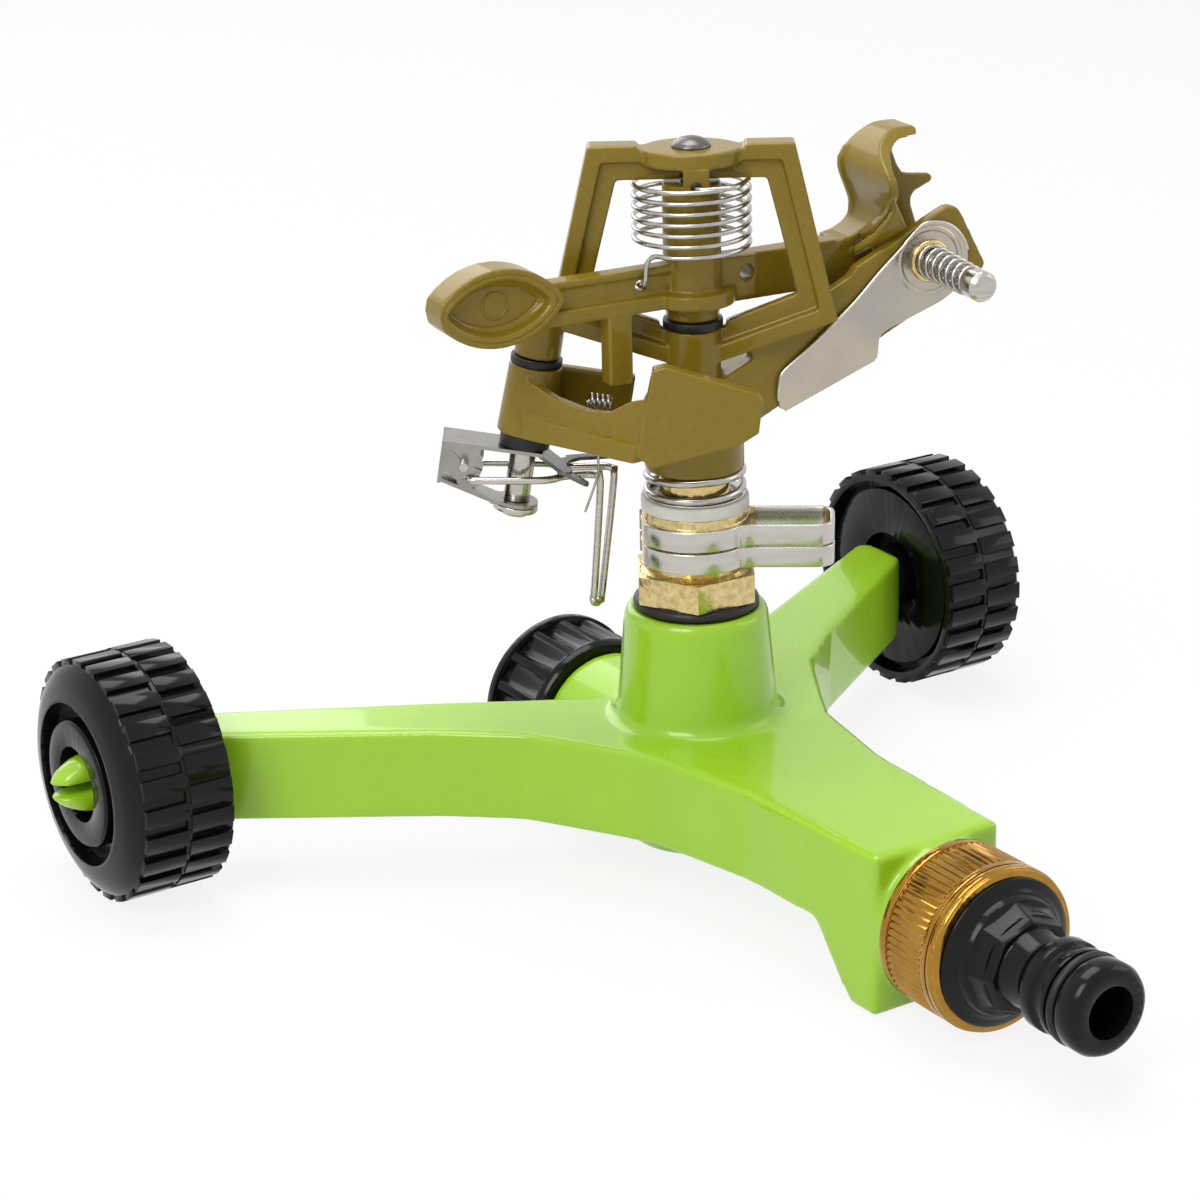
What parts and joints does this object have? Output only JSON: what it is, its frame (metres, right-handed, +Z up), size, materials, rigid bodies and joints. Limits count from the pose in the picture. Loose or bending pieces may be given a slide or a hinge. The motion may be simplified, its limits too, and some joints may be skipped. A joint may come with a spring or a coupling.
{
  "type": "impulse sprinkler",
  "caption": "Impulse sprinkler on a cast base with wheels: metal head with sprung hammer arm, reversing gear, sector collars, hose spigot and capped rear outlet.",
  "frame": {"origin": "centre of the footprint on the ground", "axes": "+Z up, +X along the wheel axle, -Y towards the hose inlet"},
  "size_m": [0.2268, 0.1991, 0.1454],
  "materials": {
    "green_paint": "gloss",
    "olive_paint": "satin",
    "black_plastic": "satin",
    "black_rubber": "satin",
    "grey_rubber": "matt",
    "white_nylon": "satin",
    "brass": "machined",
    "gold_aluminium": "anodised",
    "stainless": "brushed"
  },
  "bodies": {
    "base": {"base_casting": "green_paint", "boss_oring": "black_rubber", "nipple": "brass", "bearing_washer": "white_nylon", "bearing_seal": "black_rubber", "nylon_washer": "white_nylon", "steel_washer": "stainless"},
    "left_wheel": {"left_wheel": "black_plastic"},
    "right_wheel": {"right_wheel": "black_plastic"},
    "adapter": {"tap_adapter": "black_plastic", "adapter_oring": "black_rubber", "inlet_washer": "grey_rubber"},
    "coupling": {"coupling_ring": "gold_aluminium"},
    "outlet_seal": {"cap_washer": "grey_rubber"},
    "outlet_cap": {"rear_cap": "black_plastic"},
    "lower_collar": {"lower_collar": "stainless"},
    "upper_collar": {"upper_collar": "stainless"},
    "head": {"bearing_tube": "brass", "riser_spring": "stainless", "head_casting": "olive_paint", "jet_nozzle": "brass", "arm_pin": "stainless", "arm_washer": "black_rubber", "arm_spring": "stainless", "deflector_pin": "stainless", "deflector_spring": "stainless", "post_pin": "stainless", "lever_washer": "black_rubber", "lever_bush": "black_plastic", "post_sleeve": "stainless", "post_washer": "stainless"},
    "arm": {"hammer_arm": "olive_paint"},
    "flap": {"deflector_flap": "stainless"},
    "lever": {"reversing_lever": "olive_paint", "trip_spring": "stainless"},
    "trip": {"trip_bracket": "stainless", "trip_cross_pin": "stainless"},
    "hairpin": {"trip_wire": "stainless"}
  },
  "joints": [
    {"name": "left_wheel_spin", "type": "hinge", "parent": "base", "child": "left_wheel", "pos_m": [-0.095, 0.07555, 0.024], "axis": [1, 0, 0], "continuous": true},
    {"name": "right_wheel_spin", "type": "hinge", "parent": "base", "child": "right_wheel", "pos_m": [0.095, 0.07555, 0.024], "axis": [1, 0, 0], "continuous": true},
    {"name": "coupling_travel", "type": "slide", "parent": "base", "child": "adapter", "axis": [0, -1, 0], "range_m": [0, 0.0108]},
    {"name": "coupling_turn", "type": "hinge", "parent": "adapter", "child": "coupling", "pos_m": [0, -0.06235, 0.0166], "axis": [0, -1, 0], "range_deg": [0, 2180]},
    {"name": "cap_travel", "type": "slide", "parent": "base", "child": "outlet_seal", "axis": [0, 1, 0], "range_m": [0, 0.009]},
    {"name": "cap_turn", "type": "hinge", "parent": "outlet_seal", "child": "outlet_cap", "pos_m": [0, 0.06765, 0.0176], "axis": [0, 1, 0], "range_deg": [0, 1815]},
    {"name": "head_turn", "type": "hinge", "parent": "base", "child": "head", "pos_m": [0, 0.02265, 0.08], "axis": [0, 0, 1], "range_deg": [-125, 125]},
    {"name": "lower_collar_turn", "type": "hinge", "parent": "base", "child": "lower_collar", "pos_m": [0, 0.02265, 0.0648], "axis": [0, 0, 1], "range_deg": [-125, 125]},
    {"name": "upper_collar_turn", "type": "hinge", "parent": "base", "child": "upper_collar", "pos_m": [0, 0.02265, 0.0692], "axis": [0, 0, 1], "range_deg": [-125, 125]},
    {"name": "arm_swing", "type": "hinge", "parent": "head", "child": "arm", "pos_m": [0, 0.02265, 0.12], "axis": [0, 0, 1], "range_deg": [0, 110], "stiffness_Nm_per_rad": 0.01, "springref_deg": -20.05, "deforming": ["arm_spring"]},
    {"name": "flap_swing", "type": "hinge", "parent": "head", "child": "flap", "pos_m": [0.0447, 0.00875, 0.11671], "axis": [-0.1848, -0.9828, 0], "range_deg": [0, 150]},
    {"name": "lever_swing", "type": "hinge", "parent": "head", "child": "lever", "pos_m": [-0.02576, 0.03916, 0.095], "axis": [-0.139, 0.089, -0.9863], "range_deg": [-14, 0], "deforming": ["trip_spring"]},
    {"name": "trip_swing", "type": "hinge", "parent": "head", "child": "trip", "pos_m": [-0.02785, 0.0405, 0.08021], "axis": [-0.139, 0.089, -0.9863], "range_deg": [-37.5, 0]},
    {"name": "hairpin_flip", "type": "hinge", "parent": "trip", "child": "hairpin", "pos_m": [-0.03588, 0.04564, 0.08079], "axis": [0.5395, 0.842, 0], "range_deg": [0, 180]}
  ],
  "couplings": [
    {"joint": "coupling_turn", "follows": "coupling_travel", "rad_per_m": 3463.7},
    {"joint": "cap_turn", "follows": "cap_travel", "rad_per_m": 3463.7},
    {"joint": "trip_swing", "follows": "lever_swing", "ratio": 2.6667}
  ]
}
